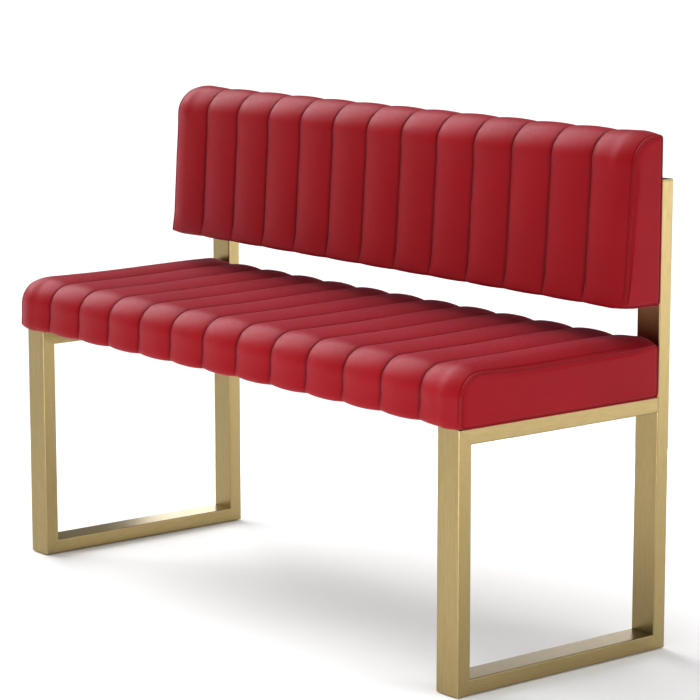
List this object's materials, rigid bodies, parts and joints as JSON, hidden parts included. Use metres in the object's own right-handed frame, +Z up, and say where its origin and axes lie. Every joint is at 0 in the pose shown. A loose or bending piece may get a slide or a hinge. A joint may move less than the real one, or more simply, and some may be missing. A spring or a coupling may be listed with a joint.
{
  "type": "upholstered bench with backrest",
  "caption": "Channel-tufted bench seat and backrest in leather on two open rectangular tube side frames whose rear legs rise as the back's uprights.",
  "frame": {"origin": "centre of the bench's box at floor level, on the underside of the floor glides", "axes": "+X along the bench to the right as the sitter's back faces it, -Y towards the front edge of the seat, +Z up"},
  "size_m": [1.2, 0.4556, 0.8298],
  "materials": {
    "brushed_brass": "brushed, satin lacquer, brass-coloured",
    "red_leather": "fine-grained, semi-matte, sewn in channels",
    "foam": "open-cell upholstery foam",
    "plywood": "raw birch plywood",
    "black_fabric": "thin non-woven dust cover",
    "black_plastic": "moulded, matte",
    "zinc_steel": "bright zinc plated"
  },
  "bodies": {
    "root": {"left_front_leg": "brushed_brass", "left_foot_rail": "brushed_brass", "left_rear_upright": "brushed_brass", "left_seat_rail": "brushed_brass", "left_upright_cap": "brushed_brass", "left_front_glide": "black_plastic", "left_rear_glide": "black_plastic", "right_front_leg": "brushed_brass", "right_foot_rail": "brushed_brass", "right_rear_upright": "brushed_brass", "right_seat_rail": "brushed_brass", "right_upright_cap": "brushed_brass", "right_front_glide": "black_plastic", "right_rear_glide": "black_plastic", "front_cross_rail": "brushed_brass", "rear_cross_rail": "brushed_brass", "seat_cover": "red_leather", "seat_foam": "foam", "seat_board": "plywood", "seat_dust_cover": "black_fabric", "seat_front_left_bolt": "zinc_steel", "seat_front_left_washer": "zinc_steel", "seat_front_left_t_nut": "zinc_steel", "seat_front_right_bolt": "zinc_steel", "seat_front_right_washer": "zinc_steel", "seat_front_right_t_nut": "zinc_steel", "seat_rear_left_bolt": "zinc_steel", "seat_rear_left_washer": "zinc_steel", "seat_rear_left_t_nut": "zinc_steel", "seat_rear_right_bolt": "zinc_steel", "seat_rear_right_washer": "zinc_steel", "seat_rear_right_t_nut": "zinc_steel", "back_cover": "red_leather", "back_foam": "foam", "back_board": "plywood", "back_rear_panel": "red_leather", "back_lower_left_spacer": "black_plastic", "back_lower_left_bolt": "zinc_steel", "back_lower_left_washer": "zinc_steel", "back_lower_left_t_nut": "zinc_steel", "back_lower_right_spacer": "black_plastic", "back_lower_right_bolt": "zinc_steel", "back_lower_right_washer": "zinc_steel", "back_lower_right_t_nut": "zinc_steel", "back_upper_left_spacer": "black_plastic", "back_upper_left_bolt": "zinc_steel", "back_upper_left_washer": "zinc_steel", "back_upper_left_t_nut": "zinc_steel", "back_upper_right_spacer": "black_plastic", "back_upper_right_bolt": "zinc_steel", "back_upper_right_washer": "zinc_steel", "back_upper_right_t_nut": "zinc_steel"}
  },
  "joints": []
}
